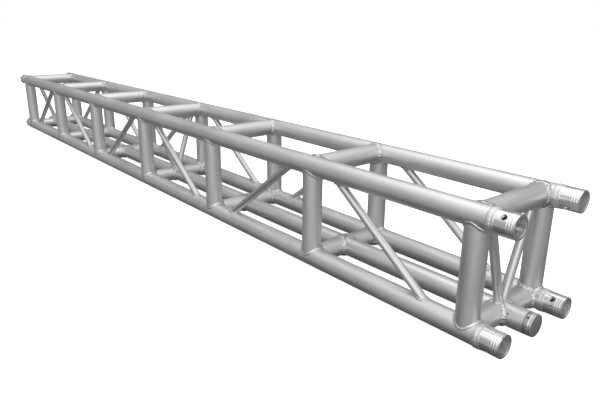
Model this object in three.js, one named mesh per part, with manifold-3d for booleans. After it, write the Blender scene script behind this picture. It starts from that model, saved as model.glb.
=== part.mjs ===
// Aluminium lighting truss section: a welded box of four 50 mm chords with a fifth chord low in the middle,
// laced by posts, rungs and slim diagonals, with conical coupler sockets at all eight outer chord ends.
// X runs along the truss, Y across it and Z up. The origin is at the middle, on the bottom chords' underside.
import * as THREE from 'three';
import { mergeVertices } from 'three/addons/utils/BufferGeometryUtils.js';
import Module from 'manifold-3d';

const wasm = await Module();
wasm.setup();

// Driving dimensions, mm
const BAYS = 6;
const BAY_LENGTH = 471.5; // from one post's axis to the next
const CHORD_SPACING = 240; // between chord axes, across and upwards
const MOUTH_REACH = 85.5; // from the end posts' axis to the socket mouths
const PLUG_REACH = 83; // from the end posts' axis to the centre chord's end faces
const CHORD_OVERHANG = 28; // from the end posts' axis to the outer chords' cut ends
const CENTRE_OVERHANG = 65; // the same for the centre chord
const TUBE_RADIUS = 25;
const CHORD_WALL = 3;
const LACING_WALL = 2.5;
const BRACE_RADIUS = 10;
const BRACE_WALL = 2;
// From a post's axis to where a diagonal's axis meets the bottom chord's axis, and the top chord's
const FOOT_SET_BACK = 80;
const HEAD_SET_BACK = 66;
const V_HALF_SPREAD = 80; // from the middle to a V limb's axis, at the top rung's axis
const V_FOOT = 36; // along a limb from the centre chord's axis, filled by the weld that joins the two limbs
const GAP = 0.3; // left at every joint between two pieces

const SOCKET_MOUTH_RADIUS = 19.25;
const SOCKET_THROAT_RADIUS = 15.5;
const SOCKET_DEPTH = 55; // of the cone
const MOUTH_CHAMFER = 1.5;
const SPIGOT_LENGTH = 30; // what a connector or plug has inside its chord
const PIN_HOLE_RADIUS = 6;
const PIN_HOLE_REACH = 60.5; // from the end posts' axis to the pin hole's axis
const PLUG_FACE = 8; // thickness of the closed end
const PLUG_BORE_RADIUS = 17;
const PLUG_GROOVE = { start: 76, end: 78, radius: 24 }; // places from the end posts' axis

const WELD_BRIDGE_HALF_WIDTH = 6; // of the weld that joins two half crossbars over the centre chord
const WELD_BRIDGE_RADIUS = 28;

const TUBE_SIDES = 16;
const BRACE_SIDES = 10;

// Sizes that follow
const HALF_RUN = (BAYS * BAY_LENGTH) / 2;
const HALF_SPACING = CHORD_SPACING / 2;
const LOW_AXIS = TUBE_RADIUS;
const HIGH_AXIS = LOW_AXIS + CHORD_SPACING;
const CUT_RADIUS = TUBE_RADIUS + GAP;
const SPIGOT_RADIUS = TUBE_RADIUS - CHORD_WALL - GAP;
const PAST = 5; // how far a cutting shape runs past what it cuts

const UP = new THREE.Vector3(0, 1, 0); // the axis that a lathe turns about

function aluminium(color, roughness, metalness) {
  return () => new THREE.MeshStandardMaterial({ color, roughness, metalness });
}

const FINISH = {
  chord: aluminium(0xc4c4c4, 0.38, 0.9),
  lacing: aluminium(0xb9b9b9, 0.42, 0.9),
  brace: aluminium(0xc0c0c0, 0.4, 0.9),
  connector: aluminium(0xd2d2d2, 0.25, 1.0),
  plug: aluminium(0xaeaeae, 0.35, 0.9),
};

// A closed profile of [radius, height] corners turned about the lathe's axis
function turned(corners, sides) {
  const points = [...corners, corners[0]].map(([radius, height]) => new THREE.Vector2(radius, height));
  return merged(new THREE.LatheGeometry(points, sides));
}

function merged(geometry) {
  geometry.deleteAttribute('normal');
  geometry.deleteAttribute('uv');
  return mergeVertices(geometry);
}

// Lays a turned shape along the line between two points, starting at the first
function laid(geometry, from, to) {
  const start = new THREE.Vector3(...from);
  const direction = new THREE.Vector3(...to).sub(start).normalize();
  geometry.applyQuaternion(new THREE.Quaternion().setFromUnitVectors(UP, direction));
  return geometry.translate(...from);
}

function distance(from, to) {
  return new THREE.Vector3(...from).distanceTo(new THREE.Vector3(...to));
}

function tube(from, to, radius, wall, sides = TUBE_SIDES) {
  const length = distance(from, to);
  const corners = [[radius - wall, 0], [radius, 0], [radius, length], [radius - wall, length]];
  return laid(turned(corners, sides), from, to);
}

function rod(from, to, radius, sides = TUBE_SIDES) {
  const geometry = merged(new THREE.CylinderGeometry(radius, radius, distance(from, to), sides));
  return laid(geometry.translate(0, distance(from, to) / 2, 0), from, to);
}

function solid(geometry) {
  const vertProperties = new Float32Array(geometry.attributes.position.array);
  const triVerts = new Uint32Array(geometry.index.array);
  return new wasm.Manifold(new wasm.Mesh({ numProp: 3, vertProperties, triVerts }));
}

function cut(body, cutters) {
  return cutters.reduce((left, cutter) => left.subtract(cutter), body);
}

function shape(body) {
  const mesh = body.getMesh();
  const geometry = new THREE.BufferGeometry();
  geometry.setAttribute('position', new THREE.BufferAttribute(mesh.vertProperties, 3));
  geometry.setIndex(new THREE.BufferAttribute(mesh.triVerts, 1));
  geometry.computeVertexNormals();
  return geometry;
}

// What a chord along X takes out of a piece that is welded to it, with the joint's gap
function chordCutter(y, z) {
  const reach = FOOT_SET_BACK + 4 * TUBE_RADIUS;
  return solid(rod([-reach, y, z], [reach, y, z], CUT_RADIUS));
}

// The four corners of the section. side is -1 at the front and 1 at the rear, and axis is its chord's height.
const CORNERS = [
  { name: 'top_front', side: -1, axis: HIGH_AXIS, pinTurn: 1 },
  { name: 'top_rear', side: 1, axis: HIGH_AXIS, pinTurn: -1 },
  { name: 'bottom_front', side: -1, axis: LOW_AXIS, pinTurn: -1 },
  { name: 'bottom_rear', side: 1, axis: LOW_AXIS, pinTurn: 1 },
];
const SIDES = [{ name: 'front', side: -1 }, { name: 'rear', side: 1 }];
const ENDS = [{ name: 'a', side: 1 }, { name: 'b', side: -1 }];

function postCutter(side) {
  return solid(rod([0, side * HALF_SPACING, 0], [0, side * HALF_SPACING, HIGH_AXIS], CUT_RADIUS));
}

// The chords and posts that a tube across the truss meets at its two ends
function cornerCutters(z) {
  return SIDES.flatMap(({ side }) => [chordCutter(side * HALF_SPACING, z), postCutter(side)]);
}

function crossTube(z) {
  return solid(tube([0, -HALF_SPACING, z], [0, HALF_SPACING, z], TUBE_RADIUS, LACING_WALL));
}

function crossTubeCutter(z) {
  return solid(rod([0, -HALF_SPACING, z], [0, HALF_SPACING, z], CUT_RADIUS));
}

// A post stands between two chords, with both ends coped to them
function postShape() {
  const body = solid(tube([0, 0, LOW_AXIS], [0, 0, HIGH_AXIS], TUBE_RADIUS, LACING_WALL));
  return shape(cut(body, [chordCutter(0, LOW_AXIS), chordCutter(0, HIGH_AXIS)]));
}

// A top rung joins the two top chords, and is coped to the posts below them as well
function topRungShape() {
  return shape(cut(crossTube(HIGH_AXIS), cornerCutters(HIGH_AXIS)));
}

// The weld over the centre chord, as a short length of ring above it; clear widens it into its own cutter
function weldBridge(clear) {
  const half = WELD_BRIDGE_HALF_WIDTH + clear;
  const radius = WELD_BRIDGE_RADIUS + clear;
  const ring = solid(tube([-half, 0, LOW_AXIS], [half, 0, LOW_AXIS], radius, radius - CUT_RADIUS));
  const below = new THREE.BoxGeometry(4 * half, 4 * radius, 2 * radius);
  below.translate(0, 0, LOW_AXIS + TUBE_RADIUS - LACING_WALL - 1 - radius);
  return ring.subtract(solid(merged(below)));
}

// A bottom crossbar is two half tubes, one each side of the centre chord, joined by the weld over it
function crossbarShape() {
  const halves = cut(crossTube(LOW_AXIS), [...cornerCutters(LOW_AXIS), chordCutter(0, LOW_AXIS)]);
  return shape(halves.add(weldBridge(0)));
}

// Two slim limbs spread from the centre chord to the top rung
function vBraceShape() {
  const [front, rear] = SIDES.map(({ side }) => {
    const foot = new THREE.Vector3(0, 0, LOW_AXIS);
    const top = new THREE.Vector3(0, side * V_HALF_SPREAD, HIGH_AXIS);
    const boreStart = foot.clone().add(top.clone().sub(foot).setLength(V_FOOT));
    return {
      outside: solid(rod(foot, top, BRACE_RADIUS, BRACE_SIDES)),
      inside: solid(rod(boreStart, top, BRACE_RADIUS - BRACE_WALL, BRACE_SIDES)),
    };
  });
  const limbs = cut(front.outside.add(rear.outside), [front.inside, rear.inside]);
  const neighbours = [chordCutter(0, LOW_AXIS), crossTubeCutter(LOW_AXIS), crossTubeCutter(HIGH_AXIS)];
  return shape(cut(limbs, [...neighbours, weldBridge(GAP)]));
}

// A diagonal in its own bay, with its foot towards +X, coped to the bottom and the top chord
function diagonalShape() {
  const foot = [BAY_LENGTH / 2 - FOOT_SET_BACK, 0, LOW_AXIS];
  const head = [HEAD_SET_BACK - BAY_LENGTH / 2, 0, HIGH_AXIS];
  const body = solid(tube(foot, head, BRACE_RADIUS, BRACE_WALL, BRACE_SIDES));
  const reach = BAY_LENGTH / 2;
  const chords = [LOW_AXIS, HIGH_AXIS].map((z) => solid(rod([-reach, 0, z], [reach, 0, z], CUT_RADIUS)));
  return shape(cut(body, chords));
}

// A connector as it lies at end a, with its axis along X and its pin hole upright: the spigot that goes into
// the chord, the body, and the conical socket that opens at the mouth. Heights are from the end posts' axis.
function connectorShape() {
  const shoulder = CHORD_OVERHANG + GAP;
  const inner = CHORD_OVERHANG - SPIGOT_LENGTH;
  const body = solid(laid(turned([
    [SOCKET_THROAT_RADIUS, inner],
    [SPIGOT_RADIUS, inner],
    [SPIGOT_RADIUS, shoulder],
    [TUBE_RADIUS, shoulder],
    [TUBE_RADIUS, MOUTH_REACH - MOUTH_CHAMFER],
    [TUBE_RADIUS - MOUTH_CHAMFER, MOUTH_REACH],
    [SOCKET_MOUTH_RADIUS, MOUTH_REACH],
    [SOCKET_THROAT_RADIUS, MOUTH_REACH - SOCKET_DEPTH],
  ], TUBE_SIDES), [0, 0, 0], [1, 0, 0]));
  const reach = TUBE_RADIUS + PAST;
  const pinHole = rod([PIN_HOLE_REACH, 0, -reach], [PIN_HOLE_REACH, 0, reach], PIN_HOLE_RADIUS, BRACE_SIDES);
  return shape(body.subtract(solid(pinHole)));
}

// A centre chord plug as it lies at end a: a hollow spigot, a band with a groove and a closed face
function plugShape() {
  const shoulder = CENTRE_OVERHANG + GAP;
  const inner = CENTRE_OVERHANG - SPIGOT_LENGTH;
  const corners = [
    [0, PLUG_REACH - PLUG_FACE],
    [PLUG_BORE_RADIUS, PLUG_REACH - PLUG_FACE],
    [PLUG_BORE_RADIUS, inner],
    [SPIGOT_RADIUS, inner],
    [SPIGOT_RADIUS, shoulder],
    [TUBE_RADIUS, shoulder],
    [TUBE_RADIUS, PLUG_GROOVE.start],
    [PLUG_GROOVE.radius, PLUG_GROOVE.start],
    [PLUG_GROOVE.radius, PLUG_GROOVE.end],
    [TUBE_RADIUS, PLUG_GROOVE.end],
    [TUBE_RADIUS, PLUG_REACH - MOUTH_CHAMFER],
    [TUBE_RADIUS - MOUTH_CHAMFER, PLUG_REACH],
    [0, PLUG_REACH],
  ];
  const points = corners.map(([radius, height]) => new THREE.Vector2(radius, height));
  return shape(solid(laid(merged(new THREE.LatheGeometry(points, TUBE_SIDES)), [0, 0, 0], [1, 0, 0])));
}

function piece(name, geometry, finish) {
  const mesh = new THREE.Mesh(geometry, finish());
  mesh.name = name;
  return mesh;
}

function chord(name, y, z, overhang) {
  const half = HALF_RUN + overhang;
  const geometry = tube([-half, 0, 0], [half, 0, 0], TUBE_RADIUS, CHORD_WALL);
  geometry.computeVertexNormals();
  const mesh = piece(name, geometry, FINISH.chord);
  mesh.position.set(0, y, z);
  return mesh;
}

// The posts, rung and crossbar at one station, and its V brace where it has one
function station(number, shapes) {
  const group = new THREE.Group();
  for (const { name, side } of SIDES) {
    const post = piece(`post_${name}_${number}`, shapes.post, FINISH.lacing);
    post.position.y = side * HALF_SPACING;
    group.add(post);
  }
  group.add(piece(`top_rung_${number}`, shapes.topRung, FINISH.lacing));
  group.add(piece(`crossbar_${number}`, shapes.crossbar, FINISH.lacing));
  if ((number - 1) % (BAYS / 2) === 0) {
    group.add(piece(`v_brace_${number}`, shapes.vBrace, FINISH.brace));
  }
  return group;
}

// One bay's diagonals, which rise and fall by turns along the truss
function bay(number, diagonal) {
  const group = new THREE.Group();
  for (const { name, side } of SIDES) {
    const brace = piece(`diagonal_${name}_${number}`, diagonal, FINISH.brace);
    brace.position.y = side * HALF_SPACING;
    brace.rotation.z = number % 2 === 0 ? Math.PI : 0;
    group.add(brace);
  }
  return group;
}

// The four connectors and the centre chord's plug at one end
function end(name, side, shapes) {
  const group = new THREE.Group();
  const halfTurn = side < 0 ? Math.PI : 0;
  for (const corner of CORNERS) {
    const holder = new THREE.Group();
    const connector = piece(`connector_${name}_${corner.name}`, shapes.connector, FINISH.connector);
    connector.rotation.x = side * corner.pinTurn * (Math.PI / 4);
    holder.rotation.z = halfTurn;
    holder.position.set(side * HALF_RUN, corner.side * HALF_SPACING, corner.axis);
    holder.add(connector);
    group.add(holder);
  }
  const plug = piece(`centre_plug_${name}`, shapes.plug, FINISH.plug);
  plug.rotation.z = halfTurn;
  plug.position.set(side * HALF_RUN, 0, LOW_AXIS);
  group.add(plug);
  return group;
}

const truss = new THREE.Group();

for (const { name, side, axis } of CORNERS) {
  truss.add(chord(`chord_${name}`, side * HALF_SPACING, axis, CHORD_OVERHANG));
}
truss.add(chord('chord_centre', 0, LOW_AXIS, CENTRE_OVERHANG));

const stationShapes = {
  post: postShape(),
  topRung: topRungShape(),
  crossbar: crossbarShape(),
  vBrace: vBraceShape(),
};
for (let index = 0; index <= BAYS; index += 1) {
  const group = station(index + 1, stationShapes);
  group.position.x = HALF_RUN - index * BAY_LENGTH;
  truss.add(group);
}

const diagonal = diagonalShape();
for (let index = 0; index < BAYS; index += 1) {
  const group = bay(index + 1, diagonal);
  group.position.x = HALF_RUN - (index + 0.5) * BAY_LENGTH;
  truss.add(group);
}

const endShapes = { connector: connectorShape(), plug: plugShape() };
for (const { name, side } of ENDS) {
  truss.add(end(name, side, endShapes));
}

export default truss;
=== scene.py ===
"""Looks for a welded aluminium lighting truss section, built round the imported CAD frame, in metres."""

import math

import bpy
import numpy as np
from mathutils import Matrix, Vector


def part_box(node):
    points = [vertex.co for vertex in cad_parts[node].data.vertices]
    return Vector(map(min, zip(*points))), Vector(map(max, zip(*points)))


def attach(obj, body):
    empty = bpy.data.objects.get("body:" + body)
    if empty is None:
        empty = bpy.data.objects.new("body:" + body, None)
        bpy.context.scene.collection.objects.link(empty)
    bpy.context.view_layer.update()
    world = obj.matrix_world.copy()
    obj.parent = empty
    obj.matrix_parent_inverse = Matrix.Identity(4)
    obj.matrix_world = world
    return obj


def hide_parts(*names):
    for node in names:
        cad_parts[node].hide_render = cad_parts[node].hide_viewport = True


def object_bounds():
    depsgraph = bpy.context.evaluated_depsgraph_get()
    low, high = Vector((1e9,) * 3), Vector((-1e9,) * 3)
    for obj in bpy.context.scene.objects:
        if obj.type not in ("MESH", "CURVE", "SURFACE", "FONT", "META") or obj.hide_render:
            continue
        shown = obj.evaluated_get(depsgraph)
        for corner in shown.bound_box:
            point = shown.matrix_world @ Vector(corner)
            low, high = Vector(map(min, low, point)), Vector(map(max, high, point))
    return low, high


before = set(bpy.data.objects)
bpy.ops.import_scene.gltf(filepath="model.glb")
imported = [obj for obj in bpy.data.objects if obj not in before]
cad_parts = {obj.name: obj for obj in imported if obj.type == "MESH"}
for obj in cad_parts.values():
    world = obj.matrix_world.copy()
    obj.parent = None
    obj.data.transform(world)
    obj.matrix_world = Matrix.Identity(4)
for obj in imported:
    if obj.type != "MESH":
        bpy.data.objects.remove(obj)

cad_low, cad_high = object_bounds()

MM = 0.001
BODY = "root"
FULL_TURN = 2 * math.pi

# ---------------------------------------------------------------- sizes, from the frame and the design


def middle(node):
    low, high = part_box(node)
    return (Vector(low) + Vector(high)) / 2


def extent(node):
    low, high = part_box(node)
    return Vector(high) - Vector(low)


CORNERS = ("top_front", "top_rear", "bottom_front", "bottom_rear")
CHORDS = {name: middle(f"chord_{name}") for name in (*CORNERS, "centre")}
TUBE_RADIUS = extent("chord_centre").z / 2
POSTS = sum(name.startswith("post_front_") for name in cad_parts)
STATIONS = [middle(f"post_front_{n}").x for n in range(1, POSTS + 1)]
BAYS = POSTS - 1
BRACED = [n for n in range(1, POSTS + 1) if f"v_brace_{n}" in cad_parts]
MOUTH = cad_high.x - STATIONS[0]  # from the end posts' axis to the socket mouths
PLUG_FACE = middle("centre_plug_a").x + extent("centre_plug_a").x / 2 - STATIONS[0]
HIGH = CHORDS["top_front"].z
LOW = CHORDS["bottom_front"].z
HALF_SPACING = CHORDS["top_rear"].y

CHORD_WALL = 3 * MM
LACING_WALL = 2.5 * MM
BRACE_RADIUS = 10 * MM
BRACE_WALL = 2 * MM
FOOT_SET_BACK = 80 * MM  # from a post to where a diagonal meets the bottom chord, along their axes
HEAD_SET_BACK = 66 * MM  # and the top chord
V_HALF_SPREAD = 80 * MM  # from the middle to a V limb's axis, at the top rung
CHORD_OVERHANG = 28 * MM  # from the end posts' axis to the outer chords' cut ends
CENTRE_OVERHANG = 65 * MM  # the same for the centre chord

MAIN_SEGMENTS = 72
BRACE_SEGMENTS = 40
TURNED_SEGMENTS = 96
RING_STEP = 60 * MM  # between the rings of points along a tube

COPE_CLEAR = 2.3 * MM  # a main tube's end stands this far off its neighbour, and the weld fills the step
BRACE_CLEAR = 0.3 * MM

POST_BEAD = {"width": 4.2 * MM, "height": 2.3 * MM, "ripple": 3.2 * MM, "relief": 0.22, "wander": 0.08}
BEAD = {"width": 9.0 * MM, "height": 4.3 * MM, "ripple": 5.0 * MM, "relief": 0.34, "wander": 0.10,
        "rough": 0.10}
SMALL_BEAD = {"width": 4.2 * MM, "height": 2.8 * MM, "ripple": 3.6 * MM, "relief": 0.34, "wander": 0.12,
              "rough": 0.06}
COLLAR = {"width": 6.0 * MM, "height": 2.0 * MM, "ripple": 2.6 * MM, "relief": 0.06, "wander": 0.02,
          "square": 0.6}
SECOND_COLLAR = {"width": 3.4 * MM, "height": 1.1 * MM, "ripple": 2.6 * MM, "relief": 0.05, "wander": 0.02,
                 "square": 0.8}
COLLAR_PLACES = ((33.5 * MM, COLLAR), (41.6 * MM, SECOND_COLLAR))  # from the end posts' axis
CROWN_DROP = 0.55  # the share that a bead loses of its height where the two surfaces run level
CROWN_NARROWING = 0.30  # and of its width
BEAD_SECTION = 12  # points round a bead
BEAD_STEPS = 4  # mesh steps to a ripple
RIPPLE_SWELL = (0.9, 1.1)  # how small and large one ripple is beside the others
RIPPLE_ROUNDNESS = 0.9  # how far a ripple falls towards its ends
COLLAR_SINK = 0.3  # of a collar's height, below the tube's surface
OUTLINE_POINTS = 721  # in a loop before it is spaced evenly
LOOP_POINTS = 12  # in a loop at least
GRAIN_SHIFT = 40  # how far apart the metal's marks may start on two pieces

WELD_SHARP = 60  # degrees between faces, beyond which an edge is sharp
TUBE_SHARP = 35
TURNED_SHARP = 32

draw = np.random.default_rng(29)

# ---------------------------------------------------------------- mesh building

UPRIGHT = 0.9  # how far up a unit vector points when it counts as upright


def square_axes(direction):
    """Two unit vectors square to a direction and to each other."""
    helper = np.array([0.0, 0.0, 1.0]) if abs(direction[2]) < UPRIGHT else np.array([0.0, 1.0, 0.0])
    first = np.cross(helper, direction)
    first /= np.linalg.norm(first)
    return first, np.cross(direction, first)


class Tube:
    """A straight round tube between two points on its axis."""

    def __init__(self, start, end, radius, wall, segments=MAIN_SEGMENTS):
        self.start = np.array(start, float)
        self.end = np.array(end, float)
        self.radius = radius
        self.wall = wall
        self.segments = segments
        self.clear = COPE_CLEAR if radius == TUBE_RADIUS else BRACE_CLEAR
        self.length = float(np.linalg.norm(self.end - self.start))
        self.axis = (self.end - self.start) / self.length
        self.side, self.other = square_axes(self.axis)
        self.centre = (self.start + self.end) / 2

    def outward(self, turn):
        turn = np.asarray(turn)[..., None]
        return np.cos(turn) * self.side + np.sin(turn) * self.other

    def normal_at(self, points):
        across = points - self.start
        across -= np.outer(across @ self.axis, self.axis)
        return across / np.linalg.norm(across, axis=1)[:, None]

    def reach(self, turn, radius, sign, neighbours):
        """How far from the tube's middle each line along its wall runs before it meets a neighbour."""
        points = self.centre + radius * self.outward(turn)
        direction = sign * self.axis
        best = np.full(len(points), self.length / 2)
        for near in neighbours:
            across = points - near.start
            across -= np.outer(across @ near.axis, near.axis)
            step = direction - (direction @ near.axis) * near.axis
            square = step @ step
            lead = across @ step
            root = lead * lead - square * ((across**2).sum(1) - (near.radius + self.clear) ** 2)
            meets = root > -square * near.radius * MM  # a line that only just misses still counts
            run = (-lead - np.sqrt(np.maximum(root, 0))) / square
            place = (points + run[:, None] * direction - near.start) @ near.axis
            meets &= (run > 0) & (place >= 0) & (place <= near.length)
            best = np.where(meets, np.minimum(best, run), best)
        return best

    def rim(self, sign, neighbours, pitch):
        """The outer edge of one end as an evenly spaced loop of points, halfway into the weld's gap."""
        turn = np.linspace(0, FULL_TURN, OUTLINE_POINTS)
        reach = self.reach(turn, self.radius, sign, neighbours) + self.clear / 2
        points = self.centre + self.radius * self.outward(turn) + (sign * reach)[:, None] * self.axis
        return even_loop(points, pitch)


def even_loop(points, pitch):
    """A closed loop of points, first and last alike, resampled to even steps of about a pitch."""
    steps = np.linalg.norm(np.diff(points, axis=0), axis=1)
    along = np.concatenate([[0], np.cumsum(steps)])
    number = max(LOOP_POINTS, int(round(along[-1] / pitch)))
    places = np.linspace(0, along[-1], number, endpoint=False)
    return np.stack([np.interp(places, along, points[:, axis]) for axis in range(3)], axis=1)


class Build:
    """Collects vertices, faces and the metal's own coordinate, and makes one object of them."""

    def __init__(self):
        self.points = []
        self.grain = []
        self.faces = []
        self.count = 0

    def add(self, points, grain, faces):
        self.points.append(points)
        self.grain.append(grain)
        self.faces += [tuple(corner + self.count for corner in face) for face in faces]
        self.count += len(points)

    def strips(self, rings, grains, closed=False):
        """Skins a row of rings of points; closed joins the last ring to the first."""
        size = len(rings[0])
        rows = len(rings)
        faces = []
        for row in range(rows if closed else rows - 1):
            after = (row + 1) % rows
            for place in range(size):
                beside = (place + 1) % size
                faces.append((row * size + place, row * size + beside,
                              after * size + beside, after * size + place))
        self.add(np.concatenate(rings), np.concatenate(grains), faces)

    def object(self, name, material, sharp=TUBE_SHARP, looks=()):
        """looks lists each further material with the faces that have it, such as those of the grooves."""
        mesh = bpy.data.meshes.new(name)
        mesh.from_pydata(np.concatenate(self.points).tolist(), [], self.faces)
        grain = mesh.attributes.new("grain", "FLOAT_VECTOR", "POINT")
        grain.data.foreach_set("vector", np.concatenate(self.grain).astype(np.float32).ravel())
        mesh.shade_smooth()
        mesh.set_sharp_from_angle(angle=math.radians(sharp))
        mesh.materials.append(material)
        for look, faces in looks:
            mesh.materials.append(look)
            for face in faces:
                mesh.polygons[face].material_index = len(mesh.materials) - 1
        piece = bpy.data.objects.new(name, mesh)
        bpy.context.scene.collection.objects.link(piece)
        return piece


def add_tube(build, tube, start_neighbours, end_neighbours):
    """The tube's outer and inner walls and its two coped end faces, as one closed skin."""
    turn = np.linspace(0, FULL_TURN, tube.segments, endpoint=False)
    seed = draw.uniform(0, GRAIN_SHIFT)
    rings, grains = [], []

    def wall(radius, backwards):
        first = -tube.reach(turn, radius, -1, start_neighbours)
        last = tube.reach(turn, radius, 1, end_neighbours)
        count = max(2, int(tube.length / RING_STEP))
        shares = np.linspace(0, 1, count + 1)
        for share in shares[::-1] if backwards else shares:
            run = first + (last - first) * share
            rings.append(tube.centre + radius * tube.outward(turn) + run[:, None] * tube.axis)
            grains.append(np.stack([radius * np.cos(turn), radius * np.sin(turn), run + seed], axis=1))

    wall(tube.radius, False)
    wall(tube.radius - tube.wall, True)
    build.strips(rings, grains, closed=True)


def add_bead(build, loop, normal_a, normal_b, size, height=1, breadth=1):
    """A closed weld bead along a loop of points, rippled like overlapping scales and lumpy if rough."""
    count = len(loop)
    out = normal_a + normal_b
    ahead = np.roll(loop, -1, 0) - np.roll(loop, 1, 0)
    ahead /= np.linalg.norm(ahead, axis=1)[:, None]
    out -= (out * ahead).sum(1)[:, None] * ahead
    out /= np.linalg.norm(out, axis=1)[:, None]
    across = np.cross(ahead, out)
    ripples = max(3, round(count / BEAD_STEPS))
    phase = np.arange(count) / count * ripples
    scale = np.sqrt(1 - RIPPLE_ROUNDNESS * (2 * (phase % 1) - 1) ** 2)
    pulse = draw.uniform(*RIPPLE_SWELL, ripples)[phase.astype(int) % ripples]
    swell = pulse * (1 - size["relief"] + size["relief"] * scale)
    wander = np.interp(phase, np.arange(ripples + 1), wrapped(draw.normal(0, size["wander"], ripples)))
    centre = loop + (size["width"] * wander)[:, None] * across
    seed = draw.uniform(0, GRAIN_SHIFT)
    turn = np.linspace(0, FULL_TURN, BEAD_SECTION, endpoint=False)
    out = out * (size["height"] * np.ones(count) * height)[:, None]
    across = across * (size["width"] * np.ones(count) * breadth)[:, None]
    rings, grains = [], []
    for at in range(count):
        rise = np.outer(blunt(np.cos(turn), size), out[at])
        width = np.outer(blunt(np.sin(turn), size), across[at])
        lumps = 1 + size.get("rough", 0) * draw.normal(0, 1, BEAD_SECTION)
        rings.append(centre[at] + swell[at] * lumps[:, None] * (rise + width))
        grains.append(rings[-1] + seed)
    build.strips(rings, grains, closed=True)


def blunt(wave, size):
    """Turns a bead's round section into a flat-topped one where its size has a square power."""
    return np.sign(wave) * np.abs(wave) ** size.get("square", 1)


def wrapped(values):
    return np.concatenate([values, values[:1]])


def add_joint(build, tube, sign, neighbours, size):
    """The bead where one end of a tube meets its neighbours."""
    loop = tube.rim(sign, neighbours, size["ripple"] / BEAD_STEPS)
    normals = np.zeros_like(loop)
    gaps = []
    for near in neighbours:
        across = loop - near.start
        across -= np.outer(across @ near.axis, near.axis)
        gaps.append(np.abs(np.linalg.norm(across, axis=1) - near.radius))
    closest = np.argmin(gaps, axis=0)
    for which, near in enumerate(neighbours):
        mine = closest == which
        normals[mine] = near.normal_at(loop[mine])
    own = tube.normal_at(loop)
    level = np.clip((own * normals).sum(1), 0, 1) ** 2  # 1 where the two surfaces run on into each other
    add_bead(build, loop, own, normals, size, 1 - CROWN_DROP * level, 1 - CROWN_NARROWING * level)


def add_ring(build, centre, size):
    """A bead round a tube that lies along X, such as the weld between a chord and its connector."""
    turn = np.linspace(0, FULL_TURN, OUTLINE_POINTS)
    normals = np.stack([np.zeros_like(turn), np.cos(turn), np.sin(turn)], axis=1)
    radius = TUBE_RADIUS - COLLAR_SINK * size["height"]
    loop = even_loop(np.array(centre) + radius * normals, size["ripple"] / BEAD_STEPS)
    out = loop - np.array(centre)
    add_bead(build, loop, out, out, size)


# ---------------------------------------------------------------- materials


def node_material(name):
    material = bpy.data.materials.new(name)
    material.use_nodes = True
    nodes = material.node_tree.nodes
    return material, nodes, material.node_tree.links, nodes["Principled BSDF"]


NOISE_ROUGHNESS = 0.6


def grain_noise(nodes, links, scale, detail):
    """Noise in the metal's own coordinate, stretched by a scale for each direction."""
    source = nodes.new("ShaderNodeAttribute")
    source.attribute_name = "grain"
    mapping = nodes.new("ShaderNodeMapping")
    mapping.inputs["Scale"].default_value = scale
    noise = nodes.new("ShaderNodeTexNoise")
    noise.inputs["Scale"].default_value = 1.0
    noise.inputs["Detail"].default_value = detail
    noise.inputs["Roughness"].default_value = NOISE_ROUGHNESS
    links.new(source.outputs["Vector"], mapping.inputs["Vector"])
    links.new(mapping.outputs["Vector"], noise.inputs["Vector"])
    return noise.outputs["Fac"]


def spread(nodes, links, value, low, high, source_low=0.3, source_high=0.7):
    """Maps a value from its source range, by default where most noise lies, to a range from low to high."""
    ranged = nodes.new("ShaderNodeMapRange")
    ranged.inputs["From Min"].default_value = source_low
    ranged.inputs["From Max"].default_value = source_high
    ranged.inputs["To Min"].default_value = low
    ranged.inputs["To Max"].default_value = high
    links.new(value, ranged.inputs["Value"])
    return ranged.outputs["Result"]


def combine(nodes, links, first, second, operation):
    maths = nodes.new("ShaderNodeMath")
    maths.operation = operation
    links.new(first, maths.inputs[0])
    links.new(second, maths.inputs[1])
    return maths.outputs["Value"]


EXTRUDED = (900, 900, 9)  # marks per metre each way: many across the tube and few along it
TURNED = (60, 60, 2600)
CAST = (420, 420, 420)
SPECKS = (420, 420, 420)
PATCHES = (14, 14, 5)
FINER = 3.1  # how much closer the finer marks lie
STREAK_SHADE = (0.955, 1.03)
SPECK_HEIGHT = 0.25
BUMP_STRENGTH = 0.6


def grey(tone):
    return tone, tone, tone, 1


def aluminium(name, tone, gloss, streak_scale, streak_depth, patch_scale=PATCHES, patch_shade=(0.95, 1.04),
              uneven=0.05):
    """Bare aluminium of one tone and roughness, uneven by a little, with marks of a depth in metres."""
    material, nodes, links, shader = node_material(name)
    streaks = grain_noise(nodes, links, streak_scale, detail=4)
    fine = grain_noise(nodes, links, tuple(FINER * axis for axis in streak_scale), detail=2)
    patches = grain_noise(nodes, links, patch_scale, detail=3)
    specks = grain_noise(nodes, links, SPECKS, detail=2)

    shade = combine(nodes, links,
                    spread(nodes, links, streaks, *STREAK_SHADE),
                    spread(nodes, links, patches, *patch_shade), "MULTIPLY")
    colour = nodes.new("ShaderNodeMix")
    colour.data_type = "RGBA"
    colour.blend_type = "MULTIPLY"
    colour.inputs["Factor"].default_value = 1.0
    colour.inputs["A"].default_value = grey(tone)
    links.new(shade, colour.inputs["B"])
    links.new(colour.outputs["Result"], shader.inputs["Base Color"])

    rough = combine(nodes, links,
                    spread(nodes, links, streaks, gloss - uneven, gloss + uneven),
                    spread(nodes, links, patches, -uneven, uneven), "ADD")
    links.new(rough, shader.inputs["Roughness"])

    height = combine(nodes, links, streaks, fine, "ADD")
    height = combine(nodes, links, height, spread(nodes, links, specks, 0, SPECK_HEIGHT), "ADD")
    bump = nodes.new("ShaderNodeBump")
    bump.inputs["Strength"].default_value = BUMP_STRENGTH
    bump.inputs["Distance"].default_value = streak_depth
    links.new(height, bump.inputs["Height"])
    links.new(bump.outputs["Normal"], shader.inputs["Normal"])

    shader.inputs["Metallic"].default_value = 1
    return material


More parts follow.
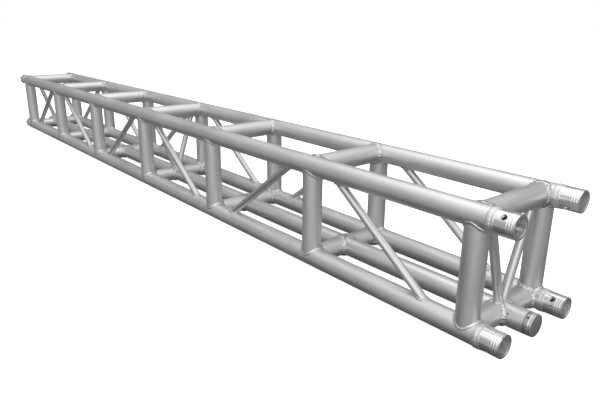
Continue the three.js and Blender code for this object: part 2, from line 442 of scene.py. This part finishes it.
chord_metal = aluminium("chord_aluminium", 0.80, 0.46, EXTRUDED, 0.03 * MM)
lacing_metal = aluminium("lacing_aluminium", 0.72, 0.50, EXTRUDED, 0.03 * MM)
brace_metal = aluminium("brace_aluminium", 0.74, 0.44, EXTRUDED, 0.03 * MM)
connector_metal = aluminium("connector_aluminium", 0.94, 0.20, TURNED, 0.0006 * MM, uneven=0.015)
bore_metal = aluminium("bore_aluminium", 0.90, 0.32, TURNED, 0.002 * MM)
# The flat ring round each mouth is the connector's aluminium in a darker tone: painted shade for a face
# turned away from the light
rim_painted_shade_metal = aluminium("rim_painted_shade_aluminium", 0.58, 0.38, TURNED, 0.002 * MM)
# The whole plug's aluminium is in a darker tone: painted shade that stands for the shade on its outward end
# face
plug_painted_shade_metal = aluminium("plug_aluminium", 0.62, 0.40, TURNED, 0.002 * MM)
# The grooves' faces are in a lighter tone than the body round them, a painted highlight along each groove.
# Their round bottoms catch real highlights as well
groove_painted_highlight_metal = aluminium("groove_painted_highlight_aluminium", 0.97, 0.34, TURNED, 0.001 * MM, uneven=0.02)
weld_metal = aluminium("weld_aluminium", 0.72, 0.36, CAST, 0.30 * MM, (240, 240, 240), (0.50, 1.20))
collar_metal = aluminium("collar_aluminium", 0.78, 0.48, CAST, 0.015 * MM)
post_weld_metal = aluminium("post_weld_aluminium", 0.78, 0.38, CAST, 0.03 * MM, (120, 120, 120), (0.90, 1.05))

# ---------------------------------------------------------------- the pieces


def finish_piece(piece, slot, *replaced):
    """Puts a piece on its body and in place of the CAD nodes that it shows. The slot is not used."""
    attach(piece, BODY)
    if replaced:
        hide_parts(*replaced)


def chord_tube(name, overhang):
    at = CHORDS[name]
    half = STATIONS[0] + overhang
    return Tube((-half, at.y, at.z), (half, at.y, at.z), TUBE_RADIUS, CHORD_WALL)


CHORD_TUBES = {name: chord_tube(name, CHORD_OVERHANG) for name in CORNERS}
CHORD_TUBES["centre"] = chord_tube("centre", CENTRE_OVERHANG)

for name, tube in CHORD_TUBES.items():
    build = Build()
    add_tube(build, tube, [], [])
    finish_piece(build.object(f"chord_tube_{name}", chord_metal), "chord_aluminium", f"chord_{name}")


def make_station(number):
    """One frame of the lacing: posts, top rung, half crossbars, a V brace in some stations, and the welds."""
    x = STATIONS[number - 1]
    welds, post_welds = Build(), Build()
    posts = {}
    for side, y in (("front", -HALF_SPACING), ("rear", HALF_SPACING)):
        low, high = CHORD_TUBES[f"bottom_{side}"], CHORD_TUBES[f"top_{side}"]
        post = Tube((x, y, LOW), (x, y, HIGH), TUBE_RADIUS, LACING_WALL)
        posts[side] = post
        build = Build()
        add_tube(build, post, [low], [high])
        add_joint(post_welds, post, -1, [low], POST_BEAD)
        add_joint(post_welds, post, 1, [high], POST_BEAD)
        finish_piece(build.object(f"post_tube_{side}_{number}", lacing_metal), "lacing_aluminium",
                     f"post_{side}_{number}")

    rung = Tube((x, -HALF_SPACING, HIGH), (x, HALF_SPACING, HIGH), TUBE_RADIUS, LACING_WALL)
    front = [CHORD_TUBES["top_front"], posts["front"]]
    rear = [CHORD_TUBES["top_rear"], posts["rear"]]
    build = Build()
    add_tube(build, rung, front, rear)
    add_joint(welds, rung, -1, front, BEAD)
    add_joint(welds, rung, 1, rear, BEAD)
    finish_piece(build.object(f"top_rung_tube_{number}", lacing_metal), "lacing_aluminium",
                 f"top_rung_{number}")

    build = Build()
    centre = CHORD_TUBES["centre"]
    for side, y in (("front", -HALF_SPACING), ("rear", HALF_SPACING)):
        half = Tube((x, 0, LOW), (x, y, LOW), TUBE_RADIUS, LACING_WALL)
        outer = [CHORD_TUBES[f"bottom_{side}"], posts[side]]
        add_tube(build, half, [centre], outer)
        add_joint(welds, half, -1, [centre], BEAD)
        add_joint(welds, half, 1, outer, BEAD)
    finish_piece(build.object(f"crossbar_tubes_{number}", lacing_metal), "lacing_aluminium",
                 f"crossbar_{number}")
    crossbar = Tube((x, -HALF_SPACING, LOW), (x, HALF_SPACING, LOW), TUBE_RADIUS, LACING_WALL)

    if number in BRACED:
        build = Build()
        for side in (-1, 1):
            head = (x, side * V_HALF_SPREAD, HIGH)
            limb = Tube((x, 0, LOW), head, BRACE_RADIUS, BRACE_WALL, BRACE_SEGMENTS)
            add_tube(build, limb, [centre, crossbar], [rung])
            add_joint(welds, limb, -1, [centre, crossbar], SMALL_BEAD)
            add_joint(welds, limb, 1, [rung], SMALL_BEAD)
        finish_piece(build.object(f"v_brace_limbs_{number}", brace_metal), "brace_aluminium",
                     f"v_brace_{number}")
    finish_piece(welds.object(f"station_welds_{number}", weld_metal, WELD_SHARP), "lacing_aluminium")
    finish_piece(post_welds.object(f"post_welds_{number}", post_weld_metal, WELD_SHARP), "lacing_aluminium")


for number in range(1, POSTS + 1):
    make_station(number)


def make_bay(number):
    """The two diagonals between one station and the next; their feet swap ends from bay to bay."""
    welds = Build()
    foot_side = 1 if number % 2 else -1
    x = (STATIONS[number - 1] + STATIONS[number]) / 2
    half = (STATIONS[number - 1] - STATIONS[number]) / 2
    for side, y in (("front", -HALF_SPACING), ("rear", HALF_SPACING)):
        foot = (x + foot_side * (half - FOOT_SET_BACK), y, LOW)
        head = (x - foot_side * (half - HEAD_SET_BACK), y, HIGH)
        diagonal = Tube(foot, head, BRACE_RADIUS, BRACE_WALL, BRACE_SEGMENTS)
        low, high = [CHORD_TUBES[f"bottom_{side}"]], [CHORD_TUBES[f"top_{side}"]]
        build = Build()
        add_tube(build, diagonal, low, high)
        add_joint(welds, diagonal, -1, low, SMALL_BEAD)
        add_joint(welds, diagonal, 1, high, SMALL_BEAD)
        finish_piece(build.object(f"diagonal_tube_{side}_{number}", brace_metal), "brace_aluminium",
                     f"diagonal_{side}_{number}")
    finish_piece(welds.object(f"bay_welds_{number}", weld_metal, WELD_SHARP), "brace_aluminium")


for number in range(1, BAYS + 1):
    make_bay(number)

# ---------------------------------------------------------------- connectors and plugs


def arc(centre_x, centre_r, radius, start, stop, steps=5):
    """Points of a round stretch of a turned profile, as (distance along, radius)."""
    angles = np.radians(np.linspace(start, stop, steps))
    return [(centre_x + radius * math.cos(a), centre_r + radius * math.sin(a)) for a in angles]


def turned_piece(name, profile, material, centre=Vector((0, 0, 0)), outward=1, closed=True, looks=()):
    """A profile of (distance along, radius) turned about X, facing outward, 1 or -1. looks lists each further
    material with its test, which says from both ends of a row of faces whether they have it."""
    build = Build()
    turn = np.linspace(0, FULL_TURN, TURNED_SEGMENTS, endpoint=False)
    rings, grains = [], []
    for along, radius in profile:
        ring = np.stack([np.full_like(turn, along), radius * np.cos(turn), radius * np.sin(turn)], axis=1)
        rings.append(ring)
        grains.append(np.stack([ring[:, 1], ring[:, 2], ring[:, 0]], axis=1))
    build.strips(rings, grains, closed=closed)
    if not closed:
        size = TURNED_SEGMENTS
        last = (len(profile) - 1) * size
        build.faces.append(tuple(reversed(range(size))))
        build.faces.append(tuple(range(last, last + size)))
    rows = list(zip(profile, profile[1:]))
    painted = [(look, [row * TURNED_SEGMENTS + place for row, ends in enumerate(rows) if test(*ends)
                       for place in range(TURNED_SEGMENTS)]) for look, test in looks]
    piece = build.object(name, material, TURNED_SHARP, painted)
    facing = Matrix.Rotation(0 if outward > 0 else math.pi, 4, "Z")
    piece.data.transform(Matrix.Translation(centre) @ facing)
    return piece


def drill(piece, cutters):
    """Cuts holes with closed shapes, and drops the shapes."""
    for cutter in cutters:
        boolean = piece.modifiers.new("hole", "BOOLEAN")
        boolean.operation = "DIFFERENCE"
        boolean.solver = "EXACT"
        boolean.object = cutter
    graph = bpy.context.evaluated_depsgraph_get()
    cut = bpy.data.meshes.new_from_object(piece.evaluated_get(graph))
    piece.modifiers.clear()
    piece.data = cut
    for cutter in cutters:
        bpy.data.objects.remove(cutter)


ROUND_FACE = 0.98  # a face belongs to a round surface when it looks this squarely away from the axis
ROUND_SLACK = 0.1 * MM


def smooth_round(mesh, radius, centre=Vector((0, 0, 0)), axis=Vector((1, 0, 0))):
    """Gives the faces of a round surface the normals of a true cylinder, also where a hole cuts them."""
    mesh.set_sharp_from_angle(angle=math.radians(TURNED_SHARP))

    def off_axis(point):
        return (point - centre) - (point - centre).dot(axis) * axis

    normals = [Vector((0, 0, 0))] * len(mesh.loops)  # zero leaves a corner's own normal
    for face in mesh.polygons:
        if face.normal.dot(off_axis(face.center).normalized()) < ROUND_FACE:
            continue
        for loop in face.loop_indices:
            outward = off_axis(mesh.vertices[mesh.loops[loop].vertex_index].co)
            if abs(outward.length - radius) < ROUND_SLACK:
                normals[loop] = outward.normalized()
    mesh.normals_split_custom_set(normals)


GROOVES = tuple(MOUTH - back * MM for back in (14.5, 9.3, 4.2))
PLUG_GROOVE = 77 * MM
GROOVE = {"half_width": 1.2 * MM, "depth": 0.7 * MM, "points": 7}
SPIGOT_RADIUS = 21.6 * MM
CONNECTOR = {"throat": 15.5 * MM, "mouth": 19.25 * MM, "cone": 55 * MM, "chamfer": 0.6 * MM, "inner": 0,
             "shoulder": 40 * MM, "body": 24.9 * MM}
PLUG = {"inner": 35 * MM, "shoulder": CENTRE_OVERHANG + 0.9 * MM, "body": 24.8 * MM, "cap": 3.5 * MM,
        "edge": 1.2 * MM}
TOUCH = 0.01 * MM  # slack when a row of faces is tested
PLUG_VENT = {"reach": 71.5 * MM, "lift": 52, "radius": 2.8 * MM}
CHORD_VENT = {"reach": 31 * MM, "lift": 30, "radius": 1.7 * MM}
POST_VENT = {"post": "rear_2", "height": 47 * MM, "turn": -74, "radius": 2.8 * MM}
PIN_HOLE = {"radius": 6 * MM, "reach": 60.5 * MM, "flare": 0.8 * MM, "flare_depth": 1.1 * MM, "past": 6 * MM}
VENT_CUT = (12 * MM, 5 * MM)  # how far a vent's cutter reaches inside and outside the tube's surface


def groove_points(at, radius):
    """A round-bottomed groove."""
    turns = np.linspace(0, math.pi, GROOVE["points"])
    half_width, depth = GROOVE["half_width"], GROOVE["depth"]
    return [(at - half_width * math.cos(turn), radius - depth * math.sin(turn)) for turn in turns]


def in_groove(*places):
    """A test for the rows of faces inside the grooves at these places, which are given a painted highlight.
    """
    reach = GROOVE["half_width"] + TOUCH
    return lambda start, end: any(max(abs(start[0] - at), abs(end[0] - at)) <= reach for at in places)


def in_bore(start, end):
    """Whether a row of faces lies in the conical bore."""
    return max(start[1], end[1]) <= CONNECTOR["mouth"] + TOUCH


def on_rim(start, end):
    """Whether a row of faces lies on the flat ring round the mouth, which is given painted shade."""
    return min(start[0], end[0]) >= MOUTH - TOUCH


def connector_profile():
    """From the end posts' axis outwards: the spigot, the grooved body, the mouth and the conical bore."""
    c = CONNECTOR
    body, chamfer = c["body"], c["chamfer"]
    points = [(c["inner"], c["throat"]), (c["inner"], SPIGOT_RADIUS), (c["shoulder"], SPIGOT_RADIUS),
              (c["shoulder"], body)]
    for at in GROOVES:
        points += groove_points(at, body)
    points += arc(MOUTH - chamfer, body - chamfer, chamfer, 90, 0)
    points += [(MOUTH, c["mouth"] + chamfer), (MOUTH - chamfer, c["mouth"])]
    points += [(MOUTH - c["cone"], c["throat"])]
    return points


def pin_cutter():
    """For a connector's pin hole, which widens where it comes out."""
    radius, past = PIN_HOLE["radius"], PIN_HOLE["past"]
    body = CONNECTOR["body"]
    edge = body - PIN_HOLE["flare_depth"]
    wide = radius + PIN_HOLE["flare"] + past
    profile = [(-body - past, wide), (-edge, radius), (edge, radius), (body + past, wide)]
    cutter = turned_piece("pin_cutter", profile, bore_metal, closed=False)
    cutter.data.transform(Matrix.Rotation(math.pi / 2, 4, "Y"))
    cutter.data.transform(Matrix.Translation((PIN_HOLE["reach"], 0, 0)))
    return cutter


def vent_cutter(centre, facing, radius):
    """For a small hole through one wall of a tube, from a point on its axis outwards."""
    inside, outside = VENT_CUT
    profile = [(TUBE_RADIUS - inside, radius), (TUBE_RADIUS + outside, radius)]
    cutter = turned_piece("vent_cutter", profile, bore_metal, closed=False)
    turn = Vector(facing).to_track_quat("X", "Z").to_matrix().to_4x4()
    cutter.data.transform(Matrix.Translation(centre) @ turn)
    return cutter


def end_vent_cutter(vent, outward):
    """For a hole in the centre chord or its plug, near one end, lifted from the front in degrees."""
    lift = math.radians(vent["lift"])
    centre = Vector((outward * (STATIONS[0] + vent["reach"]), CHORDS["centre"].y, CHORDS["centre"].z))
    return vent_cutter(centre, (0, -math.cos(lift), math.sin(lift)), vent["radius"])


def drill_tubes():
    """The small holes in the centre chord, by both ends, and in one post."""
    chord = bpy.data.objects["chord_tube_centre"]
    drill(chord, [end_vent_cutter(CHORD_VENT, outward) for outward in (1, -1)])
    smooth_round(chord.data, TUBE_RADIUS, CHORDS["centre"])

    post = bpy.data.objects[f"post_tube_{POST_VENT['post']}"]
    turn = math.radians(POST_VENT["turn"])
    centre = middle(f"post_{POST_VENT['post']}")
    centre.z = LOW + POST_VENT["height"]
    drill(post, [vent_cutter(centre, (math.cos(turn), math.sin(turn), 0), POST_VENT["radius"])])
    smooth_round(post.data, TUBE_RADIUS, centre, Vector((0, 0, 1)))


CONNECTOR_LOOKS = ((groove_painted_highlight_metal, in_groove(*GROOVES)), (bore_metal, in_bore), (rim_painted_shade_metal, on_rim))


def plug_profile():
    """The spigot, a rounded shoulder, the grooved band and the end face with its small round edge."""
    p = PLUG
    cap, edge = p["cap"], p["edge"]
    points = [(p["inner"], SPIGOT_RADIUS), (p["shoulder"], SPIGOT_RADIUS)]
    points += arc(p["shoulder"] + cap, p["body"] - cap, cap, 180, 90, steps=9)
    points += groove_points(PLUG_GROOVE, p["body"])
    points += arc(PLUG_FACE - edge, p["body"] - edge, edge, 90, 0)
    return points


def make_connector(letter, outward, corner, centre):
    """A connector whose pin hole lies along the diagonal of the truss's square section."""
    connector = turned_piece(f"connector_body_{letter}_{corner}", connector_profile(), connector_metal,
                             looks=CONNECTOR_LOOKS)
    drill(connector, [pin_cutter()])
    smooth_round(connector.data, CONNECTOR["body"])
    turn = 1 if corner in ("top_front", "bottom_rear") else -1
    facing = Matrix.Rotation(0 if outward > 0 else math.pi, 4, "Z")
    spin = Matrix.Rotation(outward * turn * math.pi / 4, 4, "X")
    connector.data.transform(Matrix.Translation(centre) @ facing @ spin)
    finish_piece(connector, "connector_aluminium", f"connector_{letter}_{corner}")


def make_plug(letter, outward, centre):
    looks = ((groove_painted_highlight_metal, in_groove(PLUG_GROOVE)),)
    plug = turned_piece(f"centre_plug_body_{letter}", plug_profile(), plug_painted_shade_metal, centre, outward,
                        closed=False, looks=looks)
    drill(plug, [end_vent_cutter(PLUG_VENT, outward)])
    plug.data.set_sharp_from_angle(angle=math.radians(TURNED_SHARP))
    finish_piece(plug, "plug_aluminium", f"centre_plug_{letter}")


def make_end(letter, outward):
    """The connectors, their collars and the plug at one end, which faces outward, 1 or -1."""

    def end_of(chord):
        return Vector((outward * STATIONS[0], CHORDS[chord].y, CHORDS[chord].z))

    welds = Build()
    for corner in CORNERS:
        centre = end_of(corner)
        make_connector(letter, outward, corner, centre)
        for place, size in COLLAR_PLACES:
            add_ring(welds, centre + Vector((outward * place, 0, 0)), size)
    finish_piece(welds.object(f"connector_welds_{letter}", collar_metal, WELD_SHARP), "connector_aluminium")
    make_plug(letter, outward, end_of("centre"))


make_end("a", 1)
make_end("b", -1)
drill_tubes()

# ---------------------------------------------------------------- camera, stage and light

CLIP = (0.05, 200)  # the nearest and farthest that the camera sees
CAMERA = {"at": (1.9743, -1.0268, 0.6171), "azimuth": 49.97, "elevation": 17.84, "roll": 0.615, "lens": 34.39}


def make_camera():
    """Looks along azimuth and elevation in degrees, and leans by the roll."""
    azimuth, elevation, roll = (math.radians(CAMERA[key]) for key in ("azimuth", "elevation", "roll"))
    right = Vector((math.cos(azimuth), math.sin(azimuth), 0))
    back = Vector((math.sin(azimuth) * math.cos(elevation), -math.cos(azimuth) * math.cos(elevation),
                   math.sin(elevation)))
    up = back.cross(right)
    rolled_right = math.cos(roll) * right + math.sin(roll) * up
    rolled_up = math.cos(roll) * up - math.sin(roll) * right
    camera = bpy.data.objects.new("camera", bpy.data.cameras.new("camera"))
    bpy.context.scene.collection.objects.link(camera)
    turn = Matrix((rolled_right, rolled_up, back)).transposed()
    camera.matrix_world = Matrix.Translation(CAMERA["at"]) @ turn.to_4x4()
    camera.data.lens = CAMERA["lens"]
    camera.data.clip_start, camera.data.clip_end = CLIP
    bpy.context.scene.camera = camera


def plain_mesh(name, points, faces, material):
    mesh = bpy.data.meshes.new(name)
    mesh.from_pydata(points, [], faces)
    mesh.materials.append(material)
    made = bpy.data.objects.new(name, mesh)
    bpy.context.scene.collection.objects.link(made)
    return made


FLOOR_REACH = 40
FLOOR_TONE = 0.9
FLOOR_GLOW = 0.85
BACKDROP_REACH = 39
BACKDROP_HEIGHT = 60


def make_floor():
    """A pale floor that takes a faint shadow and throws no light up at the metal."""
    material, *_, shader = node_material("pale_floor")
    shader.inputs["Base Color"].default_value = grey(FLOOR_TONE)
    shader.inputs["Roughness"].default_value = 1
    shader.inputs["Emission Color"].default_value = grey(1)
    shader.inputs["Emission Strength"].default_value = FLOOR_GLOW
    reach = FLOOR_REACH
    corners = [(-reach, -reach, 0), (reach, -reach, 0), (reach, reach, 0), (-reach, reach, 0)]
    floor = plain_mesh("floor", corners, [(0, 1, 2, 3)], material)
    floor.visible_diffuse = False
    floor.visible_glossy = False


# How bright the surroundings are, by how far up along SKY_UP they lie, from 0 at the bottom to 1 at the top
SKY = ((0.0, 0.08), (0.325, 0.16), (0.338, 0.62), (0.360, 0.62), (0.372, 0.27), (0.70, 0.45), (0.80, 1.02),
       (1.0, 1.1))
SKY_UP = (0.2, -0.1, 1.0)  # the way from the dim surroundings below to the bright ones above
SKY_SIDE = (0.6, -0.8, 0)  # the way to the brighter side
SKY_SHADES = (0.60, 1.18)  # on the dim and on the bright side


def along_way(nodes, links, direction, way, low, high):
    """Where a direction lies along a way, as a value from low to high."""
    product = nodes.new("ShaderNodeVectorMath")
    product.operation = "DOT_PRODUCT"
    product.inputs[1].default_value = way
    links.new(direction, product.inputs[0])
    return spread(nodes, links, product.outputs["Value"], low, high, -1, 1)


def make_world():
    """Soft studio surroundings: a bright ceiling, dimmer walls, one narrow bright band and a dark ground."""
    world = bpy.data.worlds.new("studio")
    bpy.context.scene.world = world
    world.use_nodes = True
    nodes, links = world.node_tree.nodes, world.node_tree.links
    direction = nodes.new("ShaderNodeTexCoord").outputs["Generated"]
    ramp = nodes.new("ShaderNodeValToRGB")
    stops = ramp.color_ramp.elements
    for number, (height, light) in enumerate(SKY):
        stop = stops[number] if number < 2 else stops.new(height)
        stop.position = height
        stop.color = grey(light)
    links.new(along_way(nodes, links, direction, SKY_UP, 0, 1), ramp.inputs["Fac"])
    shade = along_way(nodes, links, direction, SKY_SIDE, *SKY_SHADES)
    light = combine(nodes, links, ramp.outputs["Color"], shade, "MULTIPLY")
    links.new(light, nodes["Background"].inputs["Color"])


def area_light(name, at, target, size, power):
    lamp = bpy.data.lights.new(name, "AREA")
    lamp.shape = "RECTANGLE"
    lamp.size, lamp.size_y = size
    lamp.energy = power
    light = bpy.data.objects.new(name, lamp)
    light.location = at
    light.visible_camera = False
    light.rotation_mode = "QUATERNION"
    light.rotation_quaternion = (Vector(target) - Vector(at)).to_track_quat("-Z", "Y")
    bpy.context.scene.collection.objects.link(light)


def make_backdrop():
    """A pale shell round everything, seen only by the camera."""
    material, *_, shader = node_material("pale_backdrop")
    shader.inputs["Base Color"].default_value = grey(0)
    shader.inputs["Emission Color"].default_value = grey(1)
    shader.inputs["Emission Strength"].default_value = 1
    reach, height = BACKDROP_REACH, BACKDROP_HEIGHT
    points = [(x, y, z) for z in (-height, height) for x, y in
              ((-reach, -reach), (reach, -reach), (reach, reach), (-reach, reach))]
    faces = [(0, 1, 5, 4), (1, 2, 6, 5), (2, 3, 7, 6), (3, 0, 4, 7), (4, 5, 6, 7), (0, 3, 2, 1)]
    shell = plain_mesh("backdrop", points, faces, material)
    shell.visible_diffuse = False
    shell.visible_glossy = False
    shell.visible_shadow = False


LIGHTS = (
    {"name": "key_above", "at": (0.8, 0.3, 3.0), "target": (0.8, 0, 0.2), "size": (4.0, 2.4), "power": 23},
    {"name": "front_soft", "at": (2.7, -3.0, 1.0), "target": (0.8, 0, 0.15), "size": (4.4, 2.4), "power": 20},
    {"name": "low_near", "at": (2.3, -0.95, 0.5), "target": (1.41, -0.12, 0.26), "size": (0.5, 0.25),
     "power": 0.7},
)

make_camera()
make_floor()
make_backdrop()
make_world()
for light in LIGHTS:
    area_light(**light)

view = bpy.context.scene.view_settings
view.view_transform = "Standard"
view.look = "None"
view.exposure = 0
view.gamma = 1
